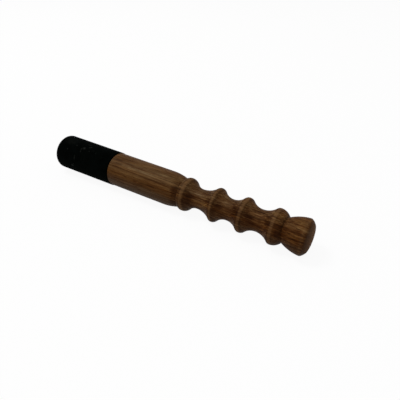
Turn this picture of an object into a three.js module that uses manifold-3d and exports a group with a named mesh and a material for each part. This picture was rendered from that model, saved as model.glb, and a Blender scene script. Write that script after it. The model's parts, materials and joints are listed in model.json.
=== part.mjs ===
// A singing bowl mallet: a turned hardwood handle with a grip of finger coves, and a suede
// sleeve and end disc glued over its striking end. Units are millimetres and +Z is up.
// The mallet lies along X with the striking end at -X, resting on the plane Z = 0.

import * as THREE from "three";
import { mergeVertices } from "three/addons/utils/BufferGeometryUtils.js";
import Module from "manifold-3d";

// Overall lengths along the axis
const overallLength = 190;
const sleeveLength = 50.8;
const knobLength = 14.9;

// Barrel, slightly fatter at the sleeve, and its shoulder that falls into the first groove
const barrelFrontRadius = 11.35;
const barrelRearRadius = 11.1;
const barrelEdgeBreak = 0.3;
const shoulderLength = 11.8;
const shoulderFall = 2.15;

// Grip: beads and ridges all turned to one radius. A cove rises into a crest through a nose, and
// behind the crest a short roll ends in a crisp edge
const ridgeRadius = 10.7;
const frontRidgeNose = 1.1;
const rearRidgeNose = 2.1;
const lastBeadNose = 1.8;
const firstBeadRise = 2.7;
const firstBeadRoll = { run: 2.8, drop: 1 };
const frontRidgeRoll = { run: 1.6, drop: 0.6 };
const rearRidgeRoll = { run: 1.9, drop: 0.57 };
const lastBeadFall = 6;

// Finger coves: length from crest to waist, from waist to the next crest, and the waist's radius
const frontCove = { lead: 9.7, run: 11.8, waist: 6.3 };
const middleCove = { lead: 9.2, run: 9.5, waist: 6.6 };
const rearCove = { lead: 9.6, run: 9.8, waist: 6.7 };

// Knob, which flares from the second groove, rounds over and closes in a low dome
const knobGrooveRadius = 7.35;
const knobRadius = 10.65;
const knobFaceRadius = 8.3;
const knobFaceDome = 0.9;
const knobEdgeLength = 2.8;
const knobEdgeReach = 1.1;
const knobFlareBulge = 0.7;

// Suede covering and the glue line between it and the wood
const sleeveFrontRadius = 12.1;
const sleeveRearRadius = 11.7;
const suedeThickness = 2;
const glueLine = 0.3;
const sleeveFrontRound = 1.4;
const sleeveRearRound = 0.9;
const discEdgeRound = 0.5;
const seamGap = 0.5;
const spigotChamfer = 0.6;

// Seam's direction about the axis, from straight up towards the far side
const seamAngle = THREE.MathUtils.degToRad(-110);

// Fineness of the surfaces
const facetCount = 48;
const chordError = 0.05;
const curveSteps = 10;
const fewestArcSteps = 2;
const samePoint = 0.001;
const cutOverrun = 1;

// Places along the axis, measured from the striking end
const knobGroove = overallLength - knobLength;
const lastBead = knobGroove - lastBeadFall;
const rearWaist = lastBead - rearCove.run;
const rearRidge = rearWaist - rearCove.lead;
const middleWaist = rearRidge - middleCove.run;
const frontRidge = middleWaist - middleCove.lead;
const frontWaist = frontRidge - frontCove.run;
const firstBead = frontWaist - frontCove.lead;
const firstGroove = firstBead - firstBeadRise;
const shoulderStart = firstGroove - shoulderLength;
const knobFaceEdge = overallLength - knobFaceDome;
const knobCrest = knobFaceEdge - knobEdgeLength;
const barrelStart = sleeveLength + glueLine;
const spigotStart = suedeThickness + glueLine;
const firstGrooveRadius = barrelRearRadius - shoulderFall;

const wood = new THREE.MeshStandardMaterial({ color: 0x6b4a2a, roughness: 0.5, metalness: 0 });
const suede = new THREE.MeshStandardMaterial({ color: 0x0d0c0b, roughness: 0.95, metalness: 0 });
const endSuede = suede.clone();

// Radius of the sleeve's tapered bore at a place along the axis
function boreRadius(place) {
  const share = place / sleeveLength;
  return THREE.MathUtils.lerp(sleeveFrontRadius, sleeveRearRadius, share) - suedeThickness;
}

// Radius of whatever is glued into the bore at that place
function gluedRadius(place) {
  return boreRadius(place) - glueLine;
}

// Outlines are paths of (place along the axis, radius)

// Radius of an arc that is level at one end and runs through a point that far along and down
function levelArcRadius(run, drop) {
  return (run * run + drop * drop) / (2 * drop);
}

// An arc from a groove up to a crest, level at the crest
function riseToCrest(path, crest, crestRadius, groove, grooveRadius) {
  const radius = levelArcRadius(crest - groove, crestRadius - grooveRadius);
  const centreRadius = crestRadius - radius;
  const start = Math.atan2(grooveRadius - centreRadius, groove - crest);
  path.absarc(crest, centreRadius, radius, start, Math.PI / 2, true);
}

// An arc from a crest down to a lower place behind it, level at the crest
function fallFromCrest(path, crest, crestRadius, place, placeRadius) {
  const radius = levelArcRadius(place - crest, crestRadius - placeRadius);
  const centreRadius = crestRadius - radius;
  const end = Math.atan2(placeRadius - centreRadius, place - crest);
  path.absarc(crest, centreRadius, radius, Math.PI / 2, end, true);
}

// A cove's front side: the roll behind the crest, its crisp edge, and an arc level at the waist
function fallToWaist(path, crest, roll, waist, waistRadius) {
  const edge = crest + roll.run;
  const edgeRadius = ridgeRadius - roll.drop;
  fallFromCrest(path, crest, ridgeRadius, edge, edgeRadius);
  const radius = levelArcRadius(waist - edge, edgeRadius - waistRadius);
  const centreRadius = waistRadius + radius;
  const start = Math.atan2(edgeRadius - centreRadius, edge - waist);
  path.absarc(waist, centreRadius, radius, start, -Math.PI / 2, false);
}

// A cove's rear side: an arc level at the waist that runs into the next crest's nose on a tangent
function riseFromWaist(path, waist, waistRadius, crest, nose) {
  const radius = levelArcRadius(crest - waist, ridgeRadius - waistRadius) - nose;
  const noseCentre = new THREE.Vector2(crest, ridgeRadius - nose);
  const coveCentre = new THREE.Vector2(waist, waistRadius + radius);
  const towardsCove = coveCentre.clone().sub(noseCentre).angle();
  path.absarc(waist, coveCentre.y, radius, -Math.PI / 2, towardsCove - Math.PI, false);
  path.absarc(crest, noseCentre.y, nose, towardsCove, Math.PI / 2, true);
}

// The knob's low dome, an arc from the edge of its face to the axis
function domeToAxis(path) {
  const radius = levelArcRadius(knobFaceRadius, knobFaceDome);
  const start = Math.asin(knobFaceRadius / radius);
  path.absarc(overallLength - radius, 0, radius, start, 0, true);
}

function handleOutline() {
  const path = new THREE.Path();
  const chamferEnd = spigotStart + spigotChamfer;
  path.moveTo(spigotStart, 0);
  path.lineTo(spigotStart, gluedRadius(spigotStart) - spigotChamfer);
  path.lineTo(chamferEnd, gluedRadius(chamferEnd));
  path.lineTo(barrelStart, gluedRadius(barrelStart));
  path.lineTo(barrelStart, barrelFrontRadius - barrelEdgeBreak);
  path.lineTo(barrelStart + barrelEdgeBreak, barrelFrontRadius);
  path.lineTo(shoulderStart, barrelRearRadius);

  const shoulderMiddle = shoulderStart + shoulderLength / 2;
  path.quadraticCurveTo(shoulderMiddle, barrelRearRadius, firstGroove, firstGrooveRadius);
  riseToCrest(path, firstBead, ridgeRadius, firstGroove, firstGrooveRadius);
  fallToWaist(path, firstBead, firstBeadRoll, frontWaist, frontCove.waist);
  riseFromWaist(path, frontWaist, frontCove.waist, frontRidge, frontRidgeNose);
  fallToWaist(path, frontRidge, frontRidgeRoll, middleWaist, middleCove.waist);
  riseFromWaist(path, middleWaist, middleCove.waist, rearRidge, rearRidgeNose);
  fallToWaist(path, rearRidge, rearRidgeRoll, rearWaist, rearCove.waist);
  riseFromWaist(path, rearWaist, rearCove.waist, lastBead, lastBeadNose);
  fallFromCrest(path, lastBead, ridgeRadius, knobGroove, knobGrooveRadius);

  const flareMiddle = (knobGroove + knobCrest) / 2;
  const flareRadius = (knobGrooveRadius + knobRadius) / 2 + 2 * knobFlareBulge;
  path.quadraticCurveTo(flareMiddle, flareRadius, knobCrest, knobRadius);
  path.quadraticCurveTo(knobCrest + knobEdgeReach, knobRadius, knobFaceEdge, knobFaceRadius);
  domeToAxis(path);
  return path;
}

function sleeveOutline() {
  const path = new THREE.Path();
  path.moveTo(0, boreRadius(0));
  path.lineTo(0, sleeveFrontRadius - sleeveFrontRound);
  const frontRoundCentre = sleeveFrontRadius - sleeveFrontRound;
  path.absarc(sleeveFrontRound, frontRoundCentre, sleeveFrontRound, Math.PI, Math.PI / 2, true);
  path.lineTo(sleeveLength - sleeveRearRound, sleeveRearRadius);
  const rearRoundCentre = sleeveRearRadius - sleeveRearRound;
  path.absarc(sleeveLength - sleeveRearRound, rearRoundCentre, sleeveRearRound, Math.PI / 2, 0, true);
  path.lineTo(sleeveLength, boreRadius(sleeveLength));
  path.lineTo(0, boreRadius(0));
  return path;
}

function discOutline() {
  const path = new THREE.Path();
  const roundCentre = gluedRadius(discEdgeRound) - discEdgeRound;
  path.moveTo(0, 0);
  path.lineTo(0, roundCentre);
  path.absarc(discEdgeRound, roundCentre, discEdgeRound, Math.PI, Math.PI / 2, true);
  path.lineTo(suedeThickness, gluedRadius(suedeThickness));
  path.lineTo(suedeThickness, 0);
  return path;
}

function stepsAlong(curve) {
  if (curve.isLineCurve) {
    return 1;
  }
  if (curve.isEllipseCurve) {
    const turn = Math.abs(curve.aEndAngle - curve.aStartAngle);
    const largestStep = 2 * Math.acos(1 - chordError / curve.xRadius);
    return Math.max(fewestArcSteps, Math.ceil(turn / largestStep));
  }
  return curveSteps;
}

function outlinePoints(path) {
  const points = [];
  for (const curve of path.curves) {
    for (const point of curve.getPoints(stepsAlong(curve))) {
      if (points.length === 0 || points.at(-1).distanceTo(point) > samePoint) {
        points.push(point);
      }
    }
  }
  return points;
}

// A solid of revolution about X. A flat facet faces straight down, as the lying mallet rests on it.
function turned(path) {
  const points = outlinePoints(path).map(({ x: place, y: radius }) => new THREE.Vector2(radius, place));
  const halfFacet = Math.PI / facetCount;
  const geometry = new THREE.LatheGeometry(points, facetCount, halfFacet, 2 * Math.PI);
  geometry.rotateZ(-Math.PI / 2);
  return geometry;
}

const wasm = await Module();
wasm.setup();

function toSolid(geometry) {
  const positions = geometry.clone();
  positions.deleteAttribute("normal");
  positions.deleteAttribute("uv");
  const merged = mergeVertices(positions, samePoint);
  const vertProperties = new Float32Array(merged.attributes.position.array);
  const triVerts = new Uint32Array(merged.index.array);
  return new wasm.Manifold(new wasm.Mesh({ numProp: 3, vertProperties, triVerts }));
}

function toGeometry(solid) {
  const { vertProperties, triVerts } = solid.getMesh();
  const geometry = new THREE.BufferGeometry();
  geometry.setAttribute("position", new THREE.BufferAttribute(vertProperties, 3));
  geometry.setIndex(new THREE.BufferAttribute(triVerts, 1));
  geometry.computeVertexNormals();
  return geometry;
}

// The strip's two edges stop short of each other along the whole sleeve
function seamCutter() {
  const length = sleeveLength + 2 * cutOverrun;
  const height = Math.max(sleeveFrontRadius, sleeveRearRadius) + cutOverrun;
  const cutter = new THREE.BoxGeometry(length, seamGap, height);
  cutter.translate(sleeveLength / 2, 0, height / 2);
  cutter.rotateX(seamAngle);
  return cutter;
}

function turnedHandle() {
  const mesh = new THREE.Mesh(turned(handleOutline()), wood);
  mesh.name = "turned_handle";
  return mesh;
}

function suedeSleeve() {
  const ring = toSolid(turned(sleeveOutline()));
  const strip = ring.subtract(toSolid(seamCutter()));
  const mesh = new THREE.Mesh(toGeometry(strip), suede);
  mesh.name = "suede_sleeve";
  return mesh;
}

function suedeEndDisc() {
  const mesh = new THREE.Mesh(turned(discOutline()), endSuede);
  mesh.name = "suede_end_disc";
  return mesh;
}

// Place along the axis at which a solid turned to an outline balances
function balancePlace(outline) {
  let weight = 0;
  let moment = 0;
  for (let i = 1; i < outline.length; i += 1) {
    const { x: start, y: startRadius } = outline[i - 1];
    const { x: end, y: endRadius } = outline[i];
    const slice = (end - start) * (startRadius + endRadius) ** 2;
    weight += slice;
    moment += slice * (start + end) / 2;
  }
  return moment / weight;
}

// The outline's points that a straight edge laid along it can touch
function outerHull(outline) {
  const hull = [];
  const inOrder = [...outline].sort((one, other) => one.x - other.x);
  for (const point of inOrder) {
    while (hull.length > 1) {
      const [before, last] = hull.slice(-2);
      const bend = last.clone().sub(before).cross(point.clone().sub(last));
      if (bend < 0) {
        break;
      }
      hull.pop();
    }
    hull.push(point);
  }
  return hull;
}

// The mallet lies on the two rounds with its balance point between them, and its axis dips
// towards the smaller one
function restTilt() {
  const handle = outlinePoints(handleOutline());
  const hull = outerHull([...outlinePoints(sleeveOutline()), ...handle]);
  const balance = balancePlace(handle);
  const rearContact = hull.find((point) => point.x > balance);
  const frontContact = hull[hull.indexOf(rearContact) - 1];
  const drop = (frontContact.y - rearContact.y) * Math.cos(Math.PI / facetCount);
  return Math.atan(drop / (rearContact.x - frontContact.x));
}

const lying = new THREE.Group();
lying.add(turnedHandle(), suedeSleeve(), suedeEndDisc());
lying.rotation.y = restTilt();

// The origin is under the middle of the whole mallet, on the plane it rests on
const mallet = new THREE.Group();
mallet.add(lying);
const box = new THREE.Box3().setFromObject(mallet, true);
lying.position.set(-(box.min.x + box.max.x) / 2, -(box.min.y + box.max.y) / 2, -box.min.z);

export default mallet;
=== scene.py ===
# A singing bowl mallet lying on a pale floor: a turned hardwood handle with a grip of finger
# coves, and a black suede sleeve and end disc glued over its striking end.
# Places along the mallet are stations, in millimetres from the face of the striking end.

import json
import math

import bpy
import numpy as np
from mathutils import Euler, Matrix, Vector


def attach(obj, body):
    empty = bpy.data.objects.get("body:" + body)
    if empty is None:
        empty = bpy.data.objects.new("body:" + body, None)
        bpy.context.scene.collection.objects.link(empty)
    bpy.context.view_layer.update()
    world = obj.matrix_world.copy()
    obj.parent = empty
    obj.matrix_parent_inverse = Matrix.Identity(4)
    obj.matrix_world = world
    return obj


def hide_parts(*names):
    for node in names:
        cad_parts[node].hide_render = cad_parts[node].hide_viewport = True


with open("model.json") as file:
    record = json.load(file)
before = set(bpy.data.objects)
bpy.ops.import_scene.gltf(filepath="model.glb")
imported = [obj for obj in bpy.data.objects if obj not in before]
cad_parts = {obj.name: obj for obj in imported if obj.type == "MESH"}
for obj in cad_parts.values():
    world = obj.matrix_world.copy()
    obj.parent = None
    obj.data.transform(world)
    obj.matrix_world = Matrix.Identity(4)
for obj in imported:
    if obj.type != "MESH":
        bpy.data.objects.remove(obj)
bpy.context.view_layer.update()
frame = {"record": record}

MM = 0.001

# Axis of the mallet, from the record's mount on the face of the striking end
STRIKING_FACE = next(m for m in frame["record"]["mounts"] if m["name"] == "striking_end_face")
TIP = Vector(STRIKING_FACE["pos_m"])
ALONG = -Vector(STRIKING_FACE["axis"])
FAR_SIDE = Vector((0, 1, 0))
UPWARD = ALONG.cross(FAR_SIDE)

# Side of the mallet that faces the photo's viewpoint: an angle about the axis, from straight up
# towards the near side. The growth layers of the wood lie edge on to it.
FACING = math.radians(53)

# Camera: its direction, and where the axis at one station lies in front of it, in millimetres
CAMERA_AZIMUTH = math.radians(34.08)
CAMERA_ELEVATION = math.radians(31.96)
CAMERA_LENS = 36
CAMERA_SENSOR = 36
AIM_STATION = 95
AIM_RIGHT = -19.7
AIM_DOWN = -7.9
AIM_FORWARD = 256.1
CAMERA_CLIP_START = 0.01

# Barrel and its shoulder
SPIGOT_START = 2.3
BARREL_START = 51.1
BARREL_FRONT_RADIUS = 11.35
BARREL_REAR_RADIUS = 11.1
SHOULDER_START = 95
FIRST_GROOVE = (106.8, 8.95)

# Grip: crests, the crisp edge behind each of them, and the waists between
RIDGE_RADIUS = 10.7
FIRST_BEAD = (109.5, RIDGE_RADIUS)
FIRST_BEAD_EDGE = (112.3, 9.7)
FRONT_WAIST = (119.2, 6.3)
FRONT_RIDGE = (131, RIDGE_RADIUS)
FRONT_RIDGE_EDGE = (132.6, 10.1)
MIDDLE_WAIST = (140.2, 6.6)
REAR_RIDGE = (149.7, RIDGE_RADIUS)
REAR_RIDGE_EDGE = (151.6, 10.13)
REAR_WAIST = (159.3, 6.7)
LAST_BEAD = (169.1, RIDGE_RADIUS)
KNOB_GROOVE = (175.1, 7.35)
FRONT_RIDGE_NOSE = 1.1
REAR_RIDGE_NOSE = 2.1
LAST_BEAD_NOSE = 1.8

# Knob
KNOB_CREST = (186.3, 10.65)
KNOB_FACE_EDGE = (189.1, 8.3)
KNOB_EDGE_REACH = 1.1
KNOB_FLARE_BULGE = 0.7
OVERALL_LENGTH = 190

# Pale bands on the crests, up to the crisp edge behind each, rubbed paler and given a painted
# highlight: first and last station of each, and over how far it fades
WORN_AND_HIGHLIGHT_BANDS = [(109.8, 111.7), (131.2, 132.35), (149.7, 151.3), (169.1, 170.8)]
WORN_AND_HIGHLIGHT_BAND_FADE = 0.3
# Wear and a painted highlight on the knob's crest: station, reach and strength
KNOB_WEAR_AND_HIGHLIGHT = (KNOB_CREST[0] + 0.8, 0.7, 0.6)
# Dirt and painted shade in the grooves, and a dark ring at the edge of the knob's face: the same
# three values
DIRT_AND_SHADE = [
    (FIRST_GROOVE[0], 0.5, 0.4),
    (KNOB_GROOVE[0], 0.45, 0.6),
    (KNOB_FACE_EDGE[0] - 0.3, 0.5, 0.65),
]
# Painted shade at both ends of each pale band: distance from that end, reach and strength
SHADE_BEFORE_BAND = (-0.6, 0.5, 0.55)
SHADE_BEHIND_BAND = (0.5, 0.5, 0.5)
# The knob's end face: where it starts, and over how far its colour fades in
END_FACE_START = KNOB_FACE_EDGE[0] - 0.4
END_FACE_FADE = 0.6

# Suede
SLEEVE_LENGTH = 50.8
SLEEVE_FRONT_RADIUS = 12.1
SLEEVE_REAR_RADIUS = 11.7
SUEDE_THICKNESS = 2
GLUE_LINE = 0.3
SLEEVE_FRONT_ROUND = 1.4
SLEEVE_REAR_ROUND = 0.9
DISC_EDGE_ROUND = 0.5
SEAM_ANGLE = math.radians(-110)
SEAM_GAP = 0.16
SEAM_ROLL = 1.1
SEAM_ROLL_DEPTH = 0.42
# How far the rubbed nap reaches from the striking end and from the crest of the seam's edges,
# and how rubbed the middle of the disc is
FRONT_WEAR_REACH = 2.5
SEAM_WEAR_REACH = 0.7
DISC_WEAR = 0.6

# Fineness of the meshes
CURVE_STEP = 0.35
LINE_STEP = 1.2
CREASE = math.radians(5)
EASED_WIDTH = 0.12
WOOD_TURNS = 144
SUEDE_TURNS = 200
NAP_STEP = 0.45
ROUND_STEP = NAP_STEP / 2
SHARP_ANGLE = math.radians(40)


def line(start, end, step=LINE_STEP):
    count = max(1, math.ceil(math.dist(start, end) / step))
    return [tuple(np.array(start) + (np.array(end) - start) * i / count) for i in range(count + 1)]


def level_arc_radius(run, drop):
    return (run * run + drop * drop) / (2 * abs(drop))


def level_arc(level, end):
    """An arc that runs along the axis where it starts, and bends from there to its end."""
    run = end[0] - level[0]
    drop = end[1] - level[1]
    radius = level_arc_radius(run, drop)
    turn = math.asin(run / radius)
    count = max(2, math.ceil(abs(turn) * radius / CURVE_STEP))
    bend = math.copysign(radius, drop)
    arc = []
    for i in range(count + 1):
        angle = turn * i / count
        arc.append((level[0] + radius * math.sin(angle), level[1] + bend * (1 - math.cos(angle))))
    return arc


def quadratic(start, middle, end):
    start, middle, end = (np.array(p, float) for p in (start, middle, end))
    count = max(2, math.ceil(math.dist(start, end) / CURVE_STEP))
    points = []
    for t in np.linspace(0, 1, count + 1):
        points.append(tuple((1 - t) ** 2 * start + 2 * t * (1 - t) * middle + t * t * end))
    return points


def rise_from_waist(waist, crest, nose):
    """The rear side of a cove: an arc level at the waist, then the nose that ends on the crest."""
    radius = level_arc_radius(crest[0] - waist[0], crest[1] - waist[1]) - nose
    nose_centre = Vector((crest[0], crest[1] - nose))
    cove_centre = Vector((waist[0], waist[1] + radius))
    meeting = nose_centre + nose * (cove_centre - nose_centre).normalized()
    return level_arc(waist, meeting) + level_arc(crest, meeting)[-2::-1]


def joined(stretches):
    """One outline from stretches that meet end to end, with every crease between them eased."""
    outline = list(stretches[0])
    for stretch in stretches[1:]:
        before = Vector(outline[-2])
        corner = Vector(outline[-1])
        after = Vector(stretch[1])
        if (corner - before).angle(after - corner) > CREASE:
            share_before = min(0.5, EASED_WIDTH / (corner - before).length)
            share_after = min(0.5, EASED_WIDTH / (after - corner).length)
            outline[-1] = tuple(corner.lerp(before, share_before))
            outline.append(tuple(corner.lerp(after, share_after)))
        outline += stretch[1:]
    return outline


def bore_radius(station):
    share = station / SLEEVE_LENGTH
    outer = SLEEVE_FRONT_RADIUS + (SLEEVE_REAR_RADIUS - SLEEVE_FRONT_RADIUS) * share
    return outer - SUEDE_THICKNESS


def handle_outline():
    spigot_front = (SPIGOT_START, bore_radius(SPIGOT_START) - GLUE_LINE)
    spigot_rear = (BARREL_START, bore_radius(BARREL_START) - GLUE_LINE)
    barrel_front = (BARREL_START, BARREL_FRONT_RADIUS)
    barrel_rear = (SHOULDER_START, BARREL_REAR_RADIUS)
    shoulder_middle = ((SHOULDER_START + FIRST_GROOVE[0]) / 2, BARREL_REAR_RADIUS)
    flare_middle_station = (KNOB_GROOVE[0] + KNOB_CREST[0]) / 2
    flare_middle_radius = (KNOB_GROOVE[1] + KNOB_CREST[1]) / 2 + 2 * KNOB_FLARE_BULGE
    edge_middle = (KNOB_CREST[0] + KNOB_EDGE_REACH, KNOB_CREST[1])
    return joined([
        line((SPIGOT_START, 0), spigot_front),
        line(spigot_front, spigot_rear),
        line(spigot_rear, barrel_front),
        line(barrel_front, barrel_rear),
        quadratic(barrel_rear, shoulder_middle, FIRST_GROOVE),
        level_arc(FIRST_BEAD, FIRST_GROOVE)[::-1],
        level_arc(FIRST_BEAD, FIRST_BEAD_EDGE),
        level_arc(FRONT_WAIST, FIRST_BEAD_EDGE)[::-1],
        rise_from_waist(FRONT_WAIST, FRONT_RIDGE, FRONT_RIDGE_NOSE),
        level_arc(FRONT_RIDGE, FRONT_RIDGE_EDGE),
        level_arc(MIDDLE_WAIST, FRONT_RIDGE_EDGE)[::-1],
        rise_from_waist(MIDDLE_WAIST, REAR_RIDGE, REAR_RIDGE_NOSE),
        level_arc(REAR_RIDGE, REAR_RIDGE_EDGE),
        level_arc(REAR_WAIST, REAR_RIDGE_EDGE)[::-1],
        rise_from_waist(REAR_WAIST, LAST_BEAD, LAST_BEAD_NOSE),
        level_arc(LAST_BEAD, KNOB_GROOVE),
        quadratic(KNOB_GROOVE, (flare_middle_station, flare_middle_radius), KNOB_CREST),
        quadratic(KNOB_CREST, edge_middle, KNOB_FACE_EDGE),
        knob_dome(),
    ])


def knob_dome():
    """The low dome of the knob's end face, from its edge to the axis."""
    height = OVERALL_LENGTH - KNOB_FACE_EDGE[0]
    radius = level_arc_radius(KNOB_FACE_EDGE[1], height)
    widest = math.asin(KNOB_FACE_EDGE[1] / radius)
    count = math.ceil(KNOB_FACE_EDGE[1] / CURVE_STEP)
    points = []
    for angle in np.linspace(widest, 0, count + 1):
        points.append((OVERALL_LENGTH - radius * (1 - math.cos(angle)), radius * math.sin(angle)))
    return points


def corner_round(centre, radius, start, end):
    count = max(3, math.ceil(abs(end - start) * radius / ROUND_STEP))
    points = []
    for angle in np.linspace(start, end, count + 1):
        points.append((centre[0] + radius * math.cos(angle), centre[1] + radius * math.sin(angle)))
    return points


def sleeve_outline():
    """The closed section of the suede strip, from the front of its bore round the outside."""
    front_centre = (SLEEVE_FRONT_ROUND, SLEEVE_FRONT_RADIUS - SLEEVE_FRONT_ROUND)
    rear_centre = (SLEEVE_LENGTH - SLEEVE_REAR_ROUND, SLEEVE_REAR_RADIUS - SLEEVE_REAR_ROUND)
    bore_front = (0, bore_radius(0))
    bore_rear = (SLEEVE_LENGTH, bore_radius(SLEEVE_LENGTH))
    front_round = corner_round(front_centre, SLEEVE_FRONT_ROUND, math.pi, math.pi / 2)
    rear_round = corner_round(rear_centre, SLEEVE_REAR_ROUND, math.pi / 2, 0)
    outline = joined([
        line(bore_front, front_round[0], NAP_STEP),
        front_round,
        line(front_round[-1], rear_round[0], NAP_STEP),
        rear_round,
        line(rear_round[-1], bore_rear, NAP_STEP),
        line(bore_rear, bore_front),
    ])
    return outline[:-1]


def disc_outline():
    radius = bore_radius(0) - GLUE_LINE
    round_centre = (DISC_EDGE_ROUND, radius - DISC_EDGE_ROUND)
    front_round = corner_round(round_centre, DISC_EDGE_ROUND, math.pi, math.pi / 2)
    back_edge = (SUEDE_THICKNESS, bore_radius(SUEDE_THICKNESS) - GLUE_LINE)
    return joined([
        line((0, 0), front_round[0], NAP_STEP),
        front_round,
        line(front_round[-1], back_edge, NAP_STEP),
        line(back_edge, (SUEDE_THICKNESS, 0)),
    ])


def slopes(outline):
    """How steeply the outline falls towards the knob at each point: 1 where it faces the knob
    squarely, -1 where it faces the striking end."""
    points = np.array(outline)
    step = np.gradient(points, axis=0)
    length = np.hypot(step[:, 0], step[:, 1])
    return -step[:, 1] / np.maximum(length, 1e-9)


def make_object(name, vertices, faces, material):
    mesh = bpy.data.meshes.new(name)
    mesh.from_pydata(vertices.tolist(), [], faces)
    mesh.validate()
    mesh.shade_smooth()
    mesh.set_sharp_from_angle(angle=SHARP_ANGLE)
    mesh.materials.append(material)
    piece = bpy.data.objects.new(name, mesh)
    bpy.context.scene.collection.objects.link(piece)
    return piece


def place_vertices(stations, radii, angles):
    """Points in metres, kept on or above the floor that the mallet lies on."""
    across = np.outer(np.cos(angles), UPWARD) - np.outer(np.sin(angles), FAR_SIDE)
    points = np.array(TIP) + MM * (np.outer(stations, ALONG) + radii[:, None] * across)
    points[:, 2] = np.maximum(points[:, 2], 0)
    return points


def bar_coordinates(stations, radii, angles):
    """Places in the bar of wood, in millimetres: along it, across its layers, and out towards
    FACING."""
    turn = angles - FACING
    return np.stack([stations, radii * np.sin(turn), radii * np.cos(turn)], axis=1)


def add_attribute(piece, name, kind, values):
    attribute = piece.data.attributes.new(name, kind, "POINT")
    field = "vector" if kind == "FLOAT_VECTOR" else "value"
    attribute.data.foreach_set(field, np.asarray(values, np.float32).ravel())


def turned(name, outline, turns, material):
    """A closed body of revolution about the mallet's axis, from an outline that starts and ends
    on it. Returns the object with the station, radius and angle of every vertex."""
    rings = outline[1:-1]
    count = len(rings)
    ring_angles = np.arange(turns) * 2 * math.pi / turns
    stations = np.repeat([p[0] for p in rings], turns)
    radii = np.repeat([p[1] for p in rings], turns)
    angles = np.tile(ring_angles, count)
    stations = np.append(stations, [outline[0][0], outline[-1][0]])
    radii = np.append(radii, [0, 0])
    angles = np.append(angles, [0, 0])
    faces = []
    for i in range(count - 1):
        for j in range(turns):
            k = (j + 1) % turns
            faces.append((i * turns + j, i * turns + k, (i + 1) * turns + k, (i + 1) * turns + j))
    start_pole = count * turns
    end_pole = start_pole + 1
    last = (count - 1) * turns
    for j in range(turns):
        k = (j + 1) % turns
        faces.append((start_pole, k, j))
        faces.append((end_pole, last + j, last + k))
    piece = make_object(name, place_vertices(stations, radii, angles), faces, material)
    return piece, stations, radii, angles


def ring_values(values, turns):
    """One value for each vertex of a turned body, from one for each point of its outline."""
    return np.append(np.repeat(values[1:-1], turns), [values[0], values[-1]])


class Pattern:
    """Adds the nodes of one material. A value may be a number or another node's output."""

    def __init__(self, name):
        self.material = bpy.data.materials.new(name)
        self.material.use_nodes = True
        self.tree = self.material.node_tree
        self.shader = self.tree.nodes["Principled BSDF"]

    def add(self, kind, inputs, **settings):
        node = self.tree.nodes.new("ShaderNode" + kind)
        for name, value in settings.items():
            setattr(node, name, value)
        self.feed(node, inputs)
        return node

    def feed(self, node, inputs):
        for name, value in inputs.items():
            if isinstance(value, bpy.types.NodeSocket):
                self.tree.links.new(value, node.inputs[name])
            else:
                node.inputs[name].default_value = value

    def attribute(self, name, output="Fac"):
        return self.add("Attribute", {}, attribute_name=name).outputs[output]

    def math(self, operation, one, other=0.0):
        return self.add("Math", {0: one, 1: other}, operation=operation).outputs[0]

    def times(self, one, other):
        return self.math("MULTIPLY", one, other)

    def split(self, vector):
        return self.add("SeparateXYZ", {0: vector}).outputs

    def vector(self, x, y, z):
        return self.add("CombineXYZ", {0: x, 1: y, 2: z}).outputs[0]

    def grey(self, value):
        return self.vector(value, value, value)

    def scaled(self, vector, scale, offset):
        inputs = {0: vector, 1: scale, 2: offset}
        return self.add("VectorMath", inputs, operation="MULTIPLY_ADD").outputs[0]

    def length(self, vector):
        return self.add("VectorMath", {0: vector}, operation="LENGTH").outputs["Value"]

    def noise(self, vector, scale, offset, detail, roughness):
        place = self.scaled(vector, scale, offset)
        inputs = {"Vector": place, "Scale": 1.0, "Detail": detail, "Roughness": roughness}
        return self.add("TexNoise", inputs).outputs[0]

    def swing(self, noise, reach):
        """A noise between 0 and 1, moved to lie about 0 and stretched to a reach."""
        return self.times(self.math("SUBTRACT", noise, 0.5), reach)

    def remap(self, value, low, high, new_low=0.0, new_high=1.0, smooth=False):
        kind = "SMOOTHSTEP" if smooth else "LINEAR"
        inputs = {0: value, 1: low, 2: high, 3: new_low, 4: new_high}
        return self.add("MapRange", inputs, interpolation_type=kind, clamp=True).outputs[0]

    def ramp(self, value, stops):
        node = self.add("ValToRGB", {0: value})
        elements = node.color_ramp.elements
        node.color_ramp.interpolation = "EASE"
        while len(elements) < len(stops):
            elements.new(1.0)
        for element, (position, colour) in zip(elements, stops):
            element.position = position
            element.color = colour
        return node.outputs[0]

    def mix(self, share, one, other, blend="MIX"):
        node = self.add("Mix", {0: share}, data_type="RGBA", blend_type=blend)
        self.feed(node, {6: one, 7: other})
        return node.outputs[2]

    def tinted(self, colour, tint):
        return self.mix(1.0, colour, tint, "MULTIPLY")

    def bump(self, height, distance, strength):
        inputs = {"Height": height, "Distance": distance, "Strength": strength}
        return self.add("Bump", inputs).outputs[0]


def srgb(red, green, blue):
    """A colour for a shader from display values between 0 and 255."""
    linear = []
    for value in (red, green, blue):
        share = value / 255
        linear.append(share / 12.92 if share <= 0.04045 else ((share + 0.055) / 1.055) ** 2.4)
    return (*linear, 1)


# Colour of the wood across its layers, in millimetres from the middle of the bar
WOOD_LAYERS = [
    (-9.5, (84, 56, 28)),
    (-6.5, (86, 61, 34)),
    (-4.8, (85, 60, 33)),
    (-3.1, (97, 72, 44)),
    (-1.8, (86, 60, 33)),
    (-0.7, (80, 55, 29)),
    (0.8, (84, 57, 29)),
    (2.8, (75, 47, 19)),
    (5.2, (67, 43, 20)),
    (7.0, (65, 45, 27)),
    (9.5, (62, 45, 30)),
]
LAYER_REACH = 12
# Dark lines that run the length of the bar: place across it and half width, in millimetres, and
# strength
GROWTH_LINES = [
    (-5.5, 0.45, 0.3),
    (-0.85, 0.35, 0.45),
    (5.6, 0.4, 0.25),
]
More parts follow.
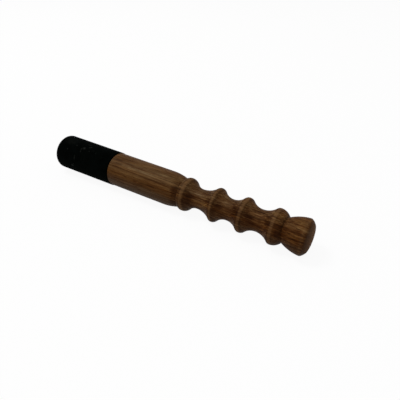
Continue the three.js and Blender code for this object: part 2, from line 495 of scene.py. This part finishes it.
# Darker and paler places in the figure, some of them painted highlights on the barrel, coves,
# crests and knob and some painted shade on the flanks behind the crests: station, place across,
# half length and half width, in millimetres, and tone
FIGURE_AND_PAINTED_LIGHT = [
    (56.0, -6.0, 6.0, 1.1, 0.7),
    (56.0, -2.2, 6.0, 2.4, 0.85),
    (57.0, -5.8, 5.5, 0.5, 0.7),
    (57.5, -1.0, 7.5, 0.5, 0.62),
    (57.0, 3.0, 7.0, 0.5, 0.72),
    (66.0, -8.2, 8.0, 1.0, 0.8),
    (66.0, -5.2, 6.0, 0.5, 0.72),
    (67.0, -3.1, 9.0, 1.0, 1.2),
    (65.0, 4.9, 8.0, 0.6, 1.15),
    (67.0, 3.3, 1.8, 0.5, 0.65),
    (71.0, -1.0, 5.0, 0.5, 0.78),
    (74.0, -6.4, 9.0, 0.6, 1.15),
    (73.0, 0.8, 12.0, 0.7, 1.08),
    (73.0, 7.3, 10.0, 0.55, 0.82),
    (75.2, 3.7, 2.2, 0.5, 0.6),
    (76.8, -4.9, 6.5, 0.6, 0.52),
    (79.5, -3.7, 5.0, 0.6, 1.15),
    (80.5, 3.9, 2.0, 0.45, 0.62),
    (86.0, -0.3, 8.0, 0.45, 0.72),
    (84.0, 5.3, 7.0, 0.5, 0.82),
    (88.0, 3.2, 4.5, 0.5, 0.68),
    (88.6, -3.6, 4.8, 0.6, 1.42),
    (94.0, -8.0, 7.0, 1.0, 0.78),
    (94.5, 4.6, 4.5, 0.5, 0.7),
    (98.0, 2.8, 5.0, 0.6, 0.75),
    (97.0, 0.0, 7.5, 0.45, 0.62),
    (97.5, -5.4, 8.0, 0.9, 1.3),
    (102.5, -1.8, 2.5, 1.0, 1.25),
    (105.8, -3.2, 3.0, 2.0, 0.65),
    (105.6, 0.8, 4.0, 2.2, 0.29),
    (105.8, 3.6, 3.4, 2.0, 0.55),
    (105.0, 7.8, 3.8, 2.2, 0.5),
    (108.5, 0.2, 1.4, 1.6, 0.55),
    (109.0, 5.4, 1.6, 1.6, 1.4),
    (115.5, -6.6, 3.6, 2.0, 1.3),
    (115.2, 0.4, 4.6, 1.6, 0.33),
    (114.6, 2.2, 4.0, 1.4, 0.6),
    (113.6, 4.8, 2.6, 3.4, 0.6),
    (113.8, -2.3, 2.2, 1.4, 0.82),
    (119.5, -2.4, 5.5, 1.2, 1.3),
    (124.0, -0.1, 9.0, 0.6, 0.55),
    (124.0, 3.0, 7.5, 2.1, 1.42),
    (128.0, 0.2, 3.8, 1.3, 0.75),
    (127.0, -3.6, 6.0, 0.9, 0.58),
    (128.0, -2.2, 3.5, 1.0, 0.82),
    (129.5, -0.8, 3.0, 2.0, 0.65),
    (129.8, -5.9, 2.4, 1.1, 1.6),
    (130.3, -0.3, 1.0, 4.0, 0.72),
    (135.6, -5.2, 3.4, 1.8, 1.4),
    (135.6, 0.5, 3.6, 1.9, 0.32),
    (136.5, 2.6, 4.5, 1.3, 0.55),
    (142.5, 2.5, 4.5, 1.3, 0.72),
    (142.0, 0.7, 4.0, 1.6, 0.72),
    (134.0, 4.8, 1.8, 3.2, 0.7),
    (134.7, -2.6, 2.4, 1.6, 0.66),
    (140.0, -2.3, 4.2, 1.3, 1.62),
    (147.0, -2.9, 4.5, 1.6, 0.48),
    (148.2, -6.4, 1.8, 1.3, 1.2),
    (147.6, 0.3, 4.2, 2.0, 0.28),
    (147.3, 3.0, 3.4, 2.2, 0.7),
    (148.8, -1.0, 1.1, 3.6, 0.74),
    (156.0, -5.2, 4.2, 1.8, 1.3),
    (155.0, 0.2, 4.2, 1.6, 0.3),
    (154.0, 4.6, 3.2, 1.5, 0.75),
    (155.5, 2.6, 4.5, 1.6, 0.6),
    (159.0, -4.6, 7.0, 0.6, 0.5),
    (160.0, 3.5, 8.0, 0.6, 0.66),
    (153.2, -2.6, 1.6, 2.0, 0.7),
    (159.5, -2.2, 4.5, 1.6, 1.66),
    (162.0, -0.4, 4.0, 0.9, 1.2),
    (159.5, 5.0, 4.0, 0.8, 1.25),
    (164.5, 1.9, 3.2, 0.9, 1.3),
    (166.5, -3.7, 3.5, 0.6, 0.45),
    (168.0, -7.0, 1.8, 1.6, 1.35),
    (167.6, 0.2, 3.0, 1.6, 0.5),
    (168.0, 3.9, 2.6, 1.1, 0.5),
    (168.0, -3.2, 2.4, 1.6, 0.6),
    (170.0, 0.0, 1.1, 1.2, 1.35),
    (170.0, 3.4, 1.1, 1.8, 0.8),
    (171.8, -4.2, 3.4, 0.6, 0.62),
    (172.0, -5.0, 1.8, 1.6, 1.3),
    (173.3, -0.2, 2.4, 1.9, 0.45),
    (173.3, 3.5, 2.4, 2.0, 0.5),
    (173.6, -7.0, 2.6, 2.2, 1.35),
    (181.0, -6.0, 9.0, 3.0, 1.2),
    (182.0, -4.5, 9.0, 0.6, 0.5),
    (182.0, -0.4, 9.5, 0.6, 0.5),
    (182.0, 1.2, 8.0, 0.6, 1.12),
    (181.0, 4.6, 6.0, 0.6, 1.35),
    (185.0, 3.3, 5.5, 0.8, 0.45),
    (186.8, 5.2, 2.6, 1.4, 0.7),
    (185.0, -6.2, 2.4, 2.6, 1.38),
    (184.8, -2.2, 2.2, 0.8, 0.74),
    (186.9, -2.7, 1.0, 0.9, 1.2),
]
# Dark colour of the growth lines, also used for the painted shade and the grime in the creases
DARK_GRAIN_AND_SHADE = srgb(36, 20, 9)
PORE_COLOUR = srgb(32, 17, 8)
# Colour of the painted shade on the flanks that face the knob
FLANK_SHADE_COLOUR = srgb(46, 26, 12)
# Colour of the knob's end face, with a painted sheen on it
KNOB_END_WITH_SHEEN = srgb(70, 50, 34)
# Colour of the pale bands on the crests, rubbed paler and with a painted highlight
WORN_AND_HIGHLIGHT_WOOD = srgb(91, 65, 40)
CORE_TONE = (0.83, 0.81, 0.87)
KNOB_TONE = (0.8, 0.65, 0.48, 1)
# Tints of the redder and the greyer streaks
WARM_TINT = (1.05, 0.98, 0.88, 1)
COOL_TINT = (0.95, 1.01, 1.12, 1)
# How strongly the tone of a streak or mark shows in red, green and blue, which also makes the
# paler marks, painted highlights among them, greyer
CHANNEL_POWERS = (0.95, 1.25, 1.55)

# Noises in the wood: how fast each changes along the bar, across its layers and outward, per
# millimetre, then its offset, detail and roughness
WANDER = ((0.014, 0.09, 0.06), (0, 0, 0), 2, 0.5)
RIPPLE = ((0.06, 0.35, 0.2), (7, 3, 1), 2, 0.5)
BROAD_STREAKS = ((0.022, 0.5, 0.12), (3, 0, 5), 2, 0.5)
MEDIUM_STREAKS = ((0.045, 1.15, 0.22), (5, 8, 3), 2, 0.6)
FINE_STREAKS = ((0.11, 2.4, 0.7), (11, 2, 0), 3, 0.7)
FLECKS = ((0.4, 1.5, 0.9), (6, 1, 9), 2, 0.6)
HUE = ((0.035, 0.8, 0.3), (9, 7, 2), 2, 0.6)
FADING = ((0.045, 0.3, 0.05), (1, 4, 7), 2, 0.5)
FINE_LINES = ((0.02, 1.0, 0.06), (0, 9, 4), 3, 0.55)
PORES = ((0.15, 2.0, 0.9), (2, 5, 8), 2, 0.6)

# How far the layers wander and ripple, in millimetres, and how ragged the marks of the figure are
WANDER_REACH = 1.2
RIPPLE_REACH = 0.3
MARK_RAGGEDNESS = 1.4

# What the values of noises and places turn into: from and to, and the results there, which are
# 0 and 1 where they are not given
BROAD_TONES = (0.3, 0.7, 0.84, 1.14)
MEDIUM_TONES = (0.3, 0.7, 0.74, 1.26)
FINE_TONES = (0.28, 0.72, 0.64, 1.36)
FLECK_TONES = (0.3, 0.7, 0.88, 1.12)
CORE_RADII = (6.0, 10.4)
KNOB_TONE_STATIONS = (100, 175)
GRIP_CONTRAST = (98, 118, 1.0, 1.9)
MARK_EDGE = (0.3, 1.2)
HUE_LIMITS = (0.35, 0.65)
FADING_SHARES = (0.38, 0.6, 0.25, 1.0)
FINE_LINE_LIMITS = (0.57, 0.7)
PORE_LIMITS = (0.58, 0.7)
# Painted shade on the flanks that face the knob
FLANK_SHADE_SLOPES = (0.3, 0.9)
FLANK_SHADE_SHARES = (-8.0, 6.0, 0.0, 0.5)
# Painted sheen on the knob's end face
END_FACE_SHEEN_TONES = (7.5, -3.0, 0.72, 1.8)
# Painted highlight on the pale bands of the crests, with the rubbing that paled them
WEAR_AND_HIGHLIGHT_SHARES = (-5.0, 3.0, 0.75, 0.42)
WORN_AND_HIGHLIGHT_TONES = (0.35, 1.25, 0.55, 1.25)
WOOD_ROUGHNESS = (0.3, 0.7, 0.56, 0.42)

# How much of each darker or greyer colour, painted shade and the end face's painted sheen among
# them, covers the wood where it is strongest
FINE_LINE_SHARE = 0.4
PORE_SHARE = 0.55
END_FACE_SHARE = 0.7
DIRT_AND_SHADE_SHARE = 0.6
# How far the painted sheen on the end face leans across the layers
END_FACE_SHEEN_LEAN = 0.3

# Surface: roughness, the pores' depth as a share of the grain's, the grain's in millimetres
PORE_ROUGHNESS = 0.15
END_FACE_ROUGHNESS = 0.75
PORE_DEPTH = 1.2
GRAIN_DEPTH = 0.05
GRAIN_STRENGTH = 0.6
WOOD_SPECULAR = 0.02


def wood_material():
    p = Pattern("turned_hardwood")
    bar = p.attribute("bar", "Vector")
    along, across, outward = p.split(bar)

    # The layers wander slowly from side to side of their mean place
    drift = p.swing(p.noise(bar, *WANDER), WANDER_REACH)
    drift = p.math("ADD", drift, p.swing(p.noise(bar, *RIPPLE), RIPPLE_REACH))
    layer = p.math("ADD", across, drift)
    stops = [((x + LAYER_REACH) / (2 * LAYER_REACH), srgb(*c)) for x, c in WOOD_LAYERS]
    colour = p.ramp(p.remap(layer, -LAYER_REACH, LAYER_REACH), stops)

    # The core of the bar is darker, and so is the wood towards the knob, which is redder too
    depth = p.length(p.vector(0.0, across, outward))
    core = [p.remap(depth, *CORE_RADII, tone, 1.0, smooth=True) for tone in CORE_TONE]
    colour = p.tinted(colour, p.vector(*core))
    redder = p.tinted(colour, KNOB_TONE)
    colour = p.mix(p.remap(along, *KNOB_TONE_STATIONS), colour, redder)

    # Streaks along the grain, from broad to hair thin, which are stronger on the grip
    grain = p.vector(along, layer, outward)
    broad = p.noise(grain, *BROAD_STREAKS)
    medium = p.noise(grain, *MEDIUM_STREAKS)
    fine = p.noise(grain, *FINE_STREAKS)
    tone = p.remap(broad, *BROAD_TONES)
    tone = p.times(tone, p.remap(medium, *MEDIUM_TONES))
    tone = p.times(tone, p.remap(fine, *FINE_TONES))
    tone = p.times(tone, p.remap(p.noise(bar, *FLECKS), *FLECK_TONES))
    tone = p.math("POWER", tone, p.remap(along, *GRIP_CONTRAST))

    # The marks of the figure, with their painted highlights and painted shade, whose edges the
    # streaks make ragged
    ragged = p.swing(medium, MARK_RAGGEDNESS)
    for station, centre, half_length, half_width, strength in FIGURE_AND_PAINTED_LIGHT:
        offset = (-station / half_length, -centre / half_width, 0)
        reach = p.length(p.scaled(bar, (1 / half_length, 1 / half_width, 0), offset))
        mark = p.remap(p.math("ADD", reach, ragged), *MARK_EDGE, strength, 1.0, smooth=True)
        tone = p.times(tone, mark)
    tones = [p.math("POWER", tone, power) for power in CHANNEL_POWERS]
    colour = p.tinted(colour, p.vector(*tones))
    hue = p.remap(p.noise(grain, *HUE), *HUE_LIMITS)
    colour = p.tinted(colour, p.mix(hue, WARM_TINT, COOL_TINT))

    # Dark lines where a year's growth ends, which fade in and out along the bar
    fading = p.remap(p.noise(grain, *FADING), *FADING_SHARES)
    for centre, half_width, strength in GROWTH_LINES:
        off_line = p.math("ABSOLUTE", p.math("SUBTRACT", layer, centre))
        share = p.remap(off_line, 0.0, half_width, strength, 0.0, smooth=True)
        colour = p.mix(p.times(share, fading), colour, DARK_GRAIN_AND_SHADE)
    lines = p.remap(p.noise(grain, *FINE_LINES), *FINE_LINE_LIMITS, smooth=True)
    colour = p.mix(p.times(lines, FINE_LINE_SHARE), colour, DARK_GRAIN_AND_SHADE)

    # Pores: short dark dashes that run with the grain
    pores = p.remap(p.noise(grain, *PORES), *PORE_LIMITS, smooth=True)
    colour = p.mix(p.times(pores, PORE_SHARE), colour, PORE_COLOUR)

    # Painted shade on the steep flanks that face the knob, stronger towards the lower side
    flank_shade = p.remap(p.attribute("flank_shade"), *FLANK_SHADE_SLOPES, smooth=True)
    flank_shade = p.times(flank_shade, p.remap(across, *FLANK_SHADE_SHARES))
    colour = p.mix(flank_shade, colour, FLANK_SHADE_COLOUR)

    # The knob's end face is greyer, partly from a painted sheen, which also makes it grow paler
    # towards the side away from FACING
    end_face = p.attribute("end_face")
    leaning = p.math("ADD", outward, p.times(across, END_FACE_SHEEN_LEAN))
    end_face_with_sheen = p.tinted(KNOB_END_WITH_SHEEN, p.grey(p.remap(leaning, *END_FACE_SHEEN_TONES)))
    colour = p.mix(p.times(end_face, END_FACE_SHARE), colour, end_face_with_sheen)

    # The crests are rubbed paler and given a painted highlight, stronger on the upper side.
    # Dirt and painted shade darken the grooves and the ends of each pale band.
    wear_and_highlight = p.times(p.attribute("wear_and_highlight"), p.remap(across, *WEAR_AND_HIGHLIGHT_SHARES))
    worn_and_highlight = p.tinted(WORN_AND_HIGHLIGHT_WOOD, p.grey(p.remap(tone, *WORN_AND_HIGHLIGHT_TONES)))
    colour = p.mix(wear_and_highlight, colour, worn_and_highlight)
    colour = p.mix(p.times(p.attribute("dirt_and_shade_in_creases"), DIRT_AND_SHADE_SHARE), colour, DARK_GRAIN_AND_SHADE)

    roughness = p.remap(fine, *WOOD_ROUGHNESS)
    roughness = p.math("ADD", roughness, p.times(pores, PORE_ROUGHNESS))
    roughness = p.math("MAXIMUM", roughness, p.times(end_face, END_FACE_ROUGHNESS))
    height = p.math("SUBTRACT", fine, p.times(pores, PORE_DEPTH))
    normal = p.bump(height, GRAIN_DEPTH * MM, GRAIN_STRENGTH)
    p.feed(p.shader, {"Base Color": colour, "Roughness": roughness, "Normal": normal})
    p.shader.inputs["Specular IOR Level"].default_value = WOOD_SPECULAR
    return p.material


# Lint and rubbed places in the nap: station, angle from FACING in degrees, half length along the
# mallet and half width round it, in millimetres, and strength
LINT = [
    (8.0, -42, 9.0, 5.0, 0.035),
    (24.5, -28, 1.3, 1.0, 0.24),
    (24.2, -27, 2.3, 1.9, 0.05),
    (22.6, -22, 0.9, 1.1, 0.09),
    (12.0, -35, 2.6, 1.6, 0.022),
    (9.0, -28, 2.4, 1.2, 0.022),
    (33.0, -30, 1.6, 0.9, 0.035),
    (26.0, -49, 3.0, 0.9, 0.1),
    (27.9, -38, 0.9, 0.9, 0.14),
    (29.0, -41, 0.9, 0.9, 0.18),
    (16.8, -29, 0.9, 0.8, 0.12),
    (10.5, -6, 0.7, 0.7, 0.15),
    (23.0, -13, 0.8, 0.9, 0.15),
    (30.0, -23, 0.7, 0.6, 0.2),
    (36.2, -24, 0.6, 0.7, 0.15),
    (42.8, -16, 0.6, 0.6, 0.1),
    (19.3, 14, 0.6, 2.6, 0.12),
    (18.4, 38, 0.6, 0.7, 0.14),
    (17.0, 45, 1.4, 0.8, 0.3),
]
SUEDE_DEEP = srgb(1, 2, 1)
SUEDE_NAP = srgb(3, 5, 4)
SUEDE_RUBBED = srgb(16, 18, 17)
LINT_COLOUR = srgb(66, 68, 64)

# Noises in the suede, given as those in the wood are
PATCHES = ((0.12, 0.17, 0.17), (0, 0, 0), 4, 0.65)
NAP = ((2.0, 2.4, 2.4), (4, 0, 0), 3, 0.75)
RAGGED_LINT = ((1.3, 1.3, 1.3), (0, 6, 2), 2, 0.5)

# What the values of noises and places turn into, as in the wood
PATCH_LIMITS = (0.38, 0.66)
TUFT_TONES = (0.35, 0.75, 0.5, 1.7)
RUBBED_SHARES = (0.35, 0.6, 0.25, 1.0)
LINT_EDGE = (0.6, 1.6)
SUEDE_ROUGHNESS = (0.3, 0.7, 0.86, 1.0)

RUBBED_SHARE = 0.4
# Surface: the nap's depth in millimetres, its gloss and its sheen
NAP_DEPTH = 0.12
NAP_STRENGTH = 0.7
SUEDE_SPECULAR = 0.006
SHEEN_WEIGHT = 0.004
SHEEN_ROUGHNESS = 0.4


def suede_material():
    p = Pattern("black_suede")
    bar = p.attribute("bar", "Vector")
    patches = p.noise(bar, *PATCHES)
    nap = p.noise(bar, *NAP)
    colour = p.mix(p.remap(patches, *PATCH_LIMITS), SUEDE_DEEP, SUEDE_NAP)
    colour = p.tinted(colour, p.grey(p.remap(nap, *TUFT_TONES)))
    rubbed = p.times(p.attribute("wear_and_highlight"), p.remap(patches, *RUBBED_SHARES))
    colour = p.mix(p.times(rubbed, RUBBED_SHARE), colour, SUEDE_RUBBED)

    ragged = p.noise(bar, *RAGGED_LINT)
    for station, angle, half_length, half_width, strength in LINT:
        turn = math.radians(angle)
        radius = SLEEVE_FRONT_RADIUS
        spot = Vector((station, radius * math.sin(turn), radius * math.cos(turn)))
        scale = Vector((1 / half_length, 1 / half_width, 1 / half_width))
        reach = p.math("ADD", p.length(p.scaled(bar, scale, -spot * scale)), ragged)
        share = p.remap(reach, *LINT_EDGE, strength, 0.0, smooth=True)
        colour = p.mix(share, colour, LINT_COLOUR)

    roughness = p.remap(nap, *SUEDE_ROUGHNESS)
    normal = p.bump(nap, NAP_DEPTH * MM, NAP_STRENGTH)
    p.feed(p.shader, {"Base Color": colour, "Roughness": roughness, "Normal": normal})
    p.shader.inputs["Specular IOR Level"].default_value = SUEDE_SPECULAR
    p.shader.inputs["Sheen Weight"].default_value = SHEEN_WEIGHT
    p.shader.inputs["Sheen Roughness"].default_value = SHEEN_ROUGHNESS
    return p.material


def nearness(places, centre, reach):
    """1 at the centre, falling to nothing a few reaches away."""
    return np.exp(-(((places - centre) / reach) ** 2))


def band(stations, start, end, fade):
    """1 between two stations and 0 outside them."""
    rise = np.clip((stations - start) / fade + 0.5, 0, 1)
    fall = np.clip((end - stations) / fade + 0.5, 0, 1)
    return rise * fall


def wear_and_highlight_on_wood(stations):
    """How rubbed the crests are, with their painted highlight, from 0 to 1."""
    centre, reach, strength = KNOB_WEAR_AND_HIGHLIGHT
    wear_and_highlight = strength * nearness(stations, centre, reach)
    for start, end in WORN_AND_HIGHLIGHT_BANDS:
        wear_and_highlight = np.maximum(wear_and_highlight, band(stations, start, end, WORN_AND_HIGHLIGHT_BAND_FADE))
    return wear_and_highlight


def dirt_and_shade_on_wood(stations):
    """Dirt and painted shade in the creases and at the ends of the pale bands: how dark they are,
    from 0 to 1.
    """
    spots = list(DIRT_AND_SHADE)
    for start, end in WORN_AND_HIGHLIGHT_BANDS:
        for edge, (step, reach, strength) in ((start, SHADE_BEFORE_BAND), (end, SHADE_BEHIND_BAND)):
            spots.append((edge + step, reach, strength))
    darkness = [strength * nearness(stations, centre, reach) for centre, reach, strength in spots]
    return np.max(darkness, axis=0)


def make_handle():
    outline = handle_outline()
    piece, stations, radii, angles = turned("handle", outline, WOOD_TURNS, wood_material())
    add_attribute(piece, "bar", "FLOAT_VECTOR", bar_coordinates(stations, radii, angles))
    outline_stations = np.array([p[0] for p in outline])
    # Painted shade on the flanks that fall towards the knob
    flank_shade = np.maximum(slopes(outline), 0)
    flank_shade[outline_stations > KNOB_CREST[0]] = 0
    shares = {
        "wear_and_highlight": wear_and_highlight_on_wood(outline_stations),
        "dirt_and_shade_in_creases": dirt_and_shade_on_wood(outline_stations),
        "flank_shade": flank_shade,
        "end_face": band(outline_stations, END_FACE_START, OVERALL_LENGTH + 1, END_FACE_FADE),
    }
    for name, values in shares.items():
        add_attribute(piece, name, "FLOAT", ring_values(values, WOOD_TURNS))
    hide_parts("turned_handle")
    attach(piece, "root")


def make_sleeve(material):
    """The suede strip, wrapped from one side of the seam round to the other."""
    outline = sleeve_outline()
    count = len(outline)
    half_gap = SEAM_GAP / 2 / SLEEVE_REAR_RADIUS
    turn = np.linspace(half_gap, 2 * math.pi - half_gap, SUEDE_TURNS + 1)
    stations = np.repeat([p[0] for p in outline], len(turn))
    radii = np.repeat([p[1] for p in outline], len(turn))
    turns = np.tile(turn, count)

    # The cut edges of the strip roll down into the seam, on the outside only
    from_seam = np.minimum(turns, 2 * math.pi - turns) * radii
    roll = np.clip(1 - from_seam / SEAM_ROLL, 0, 1) ** 2
    outside = radii > bore_radius(stations) + SUEDE_THICKNESS / 4
    radii = radii - np.where(outside, SEAM_ROLL_DEPTH * roll, 0)
    angles = SEAM_ANGLE + turns

    wide = len(turn)
    faces = []
    for i in range(count):
        n = (i + 1) % count
        for j in range(wide - 1):
            faces.append((i * wide + j, i * wide + j + 1, n * wide + j + 1, n * wide + j))
    faces.append(tuple(i * wide for i in range(count)))
    faces.append(tuple(i * wide + wide - 1 for i in reversed(range(count))))
    vertices = place_vertices(stations, radii, angles)
    piece = make_object("sleeve", vertices, faces, material)
    front_wear = nearness(stations, 0, FRONT_WEAR_REACH)
    wear_and_highlight = np.maximum(front_wear, nearness(from_seam, SEAM_ROLL, SEAM_WEAR_REACH)) * outside
    add_attribute(piece, "bar", "FLOAT_VECTOR", bar_coordinates(stations, radii, angles))
    add_attribute(piece, "wear_and_highlight", "FLOAT", wear_and_highlight)
    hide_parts("suede_sleeve")
    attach(piece, "root")


def make_disc(material):
    piece, stations, radii, angles = turned("end_disc", disc_outline(), SUEDE_TURNS, material)
    wear_and_highlight = DISC_WEAR * (1 - radii / radii.max())
    add_attribute(piece, "bar", "FLOAT_VECTOR", bar_coordinates(stations, radii, angles))
    add_attribute(piece, "wear_and_highlight", "FLOAT", wear_and_highlight)
    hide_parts("suede_end_disc")
    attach(piece, "root")


def add_camera():
    data = bpy.data.cameras.new("camera")
    data.lens = CAMERA_LENS
    data.sensor_width = CAMERA_SENSOR
    data.clip_start = CAMERA_CLIP_START
    camera = bpy.data.objects.new("camera", data)
    turn = Euler((math.pi / 2 - CAMERA_ELEVATION, 0, CAMERA_AZIMUTH))
    right, up, back = turn.to_matrix().transposed()
    aim = TIP + MM * (AIM_STATION * ALONG)
    camera.location = aim - MM * (AIM_RIGHT * right - AIM_DOWN * up - AIM_FORWARD * back)
    camera.rotation_euler = turn
    bpy.context.scene.collection.objects.link(camera)
    bpy.context.scene.camera = camera


# Soft studio light: one large lamp above, a larger one on the camera's side, and an even pale
# surround. Directions are from the mallet, distances and sizes in metres, power in watts.
LAMP_DISTANCE = 2
LAMPS = [
    ("overhead_lamp", Vector((-0.5, -0.12, 0.85)), 0.6, 16),
    ("front_lamp", Vector((0.3, -0.8, 0.5)), 2.0, 8),
]
SURROUND = 0.5
FLOOR_HALF_WIDTH = 6
FLOOR_COLOUR = (0.95, 0.95, 0.945, 1)
WHITE = (1, 1, 1, 1)
FLOOR_GLOW_SHARE = 0.92


def add_lamp(name, direction, size, power):
    data = bpy.data.lights.new(name, "AREA")
    data.shape = "SQUARE"
    data.size = size
    data.energy = power
    lamp = bpy.data.objects.new(name, data)
    lamp.location = LAMP_DISTANCE * direction.normalized()
    lamp.rotation_euler = direction.to_track_quat("Z", "Y").to_euler()
    bpy.context.scene.collection.objects.link(lamp)


def sees_background(tree):
    """1 for the rays that show the background: straight on, in a gloss or through glass."""
    path = tree.nodes.new("ShaderNodeLightPath")
    seen = path.outputs["Is Camera Ray"]
    for kind in ("Is Glossy Ray", "Is Transmission Ray"):
        either = tree.nodes.new("ShaderNodeMath")
        either.operation = "MAXIMUM"
        tree.links.new(seen, either.inputs[0])
        tree.links.new(path.outputs[kind], either.inputs[1])
        seen = either.outputs[0]
    return seen


def add_surround():
    world = bpy.data.worlds.new("surround")
    bpy.context.scene.world = world
    world.use_nodes = True
    tree = world.node_tree
    background = tree.nodes["Background"]
    background.inputs["Color"].default_value = WHITE
    strength = tree.nodes.new("ShaderNodeMapRange")
    tree.links.new(sees_background(tree), strength.inputs[0])
    strength.inputs[3].default_value = SURROUND
    strength.inputs[4].default_value = 1
    tree.links.new(strength.outputs[0], background.inputs["Strength"])


def add_floor():
    corners = [(-1, -1), (1, -1), (1, 1), (-1, 1)]
    vertices = [(FLOOR_HALF_WIDTH * x, FLOOR_HALF_WIDTH * y, 0) for x, y in corners]
    mesh = bpy.data.meshes.new("floor")
    mesh.from_pydata(vertices, [], [(0, 1, 2, 3)])
    floor = bpy.data.objects.new("floor", mesh)
    bpy.context.scene.collection.objects.link(floor)
    material = bpy.data.materials.new("pale_floor")
    material.use_nodes = True
    tree = material.node_tree
    matt = tree.nodes["Principled BSDF"]
    matt.inputs["Base Color"].default_value = FLOOR_COLOUR
    matt.inputs["Roughness"].default_value = 1
    matt.inputs["Specular IOR Level"].default_value = 0
    glow = tree.nodes.new("ShaderNodeEmission")
    glow.inputs["Color"].default_value = WHITE
    share = tree.nodes.new("ShaderNodeMath")
    share.operation = "MULTIPLY"
    share.inputs[1].default_value = FLOOR_GLOW_SHARE
    tree.links.new(sees_background(tree), share.inputs[0])
    mixed = tree.nodes.new("ShaderNodeMixShader")
    tree.links.new(share.outputs[0], mixed.inputs[0])
    tree.links.new(matt.outputs[0], mixed.inputs[1])
    tree.links.new(glow.outputs[0], mixed.inputs[2])
    tree.links.new(mixed.outputs[0], tree.nodes["Material Output"].inputs["Surface"])
    mesh.materials.append(material)


add_camera()
for lamp in LAMPS:
    add_lamp(*lamp)
add_surround()
add_floor()
make_handle()
suede = suede_material()
make_sleeve(suede)
make_disc(suede)

bpy.context.scene.view_settings.view_transform = "Standard"
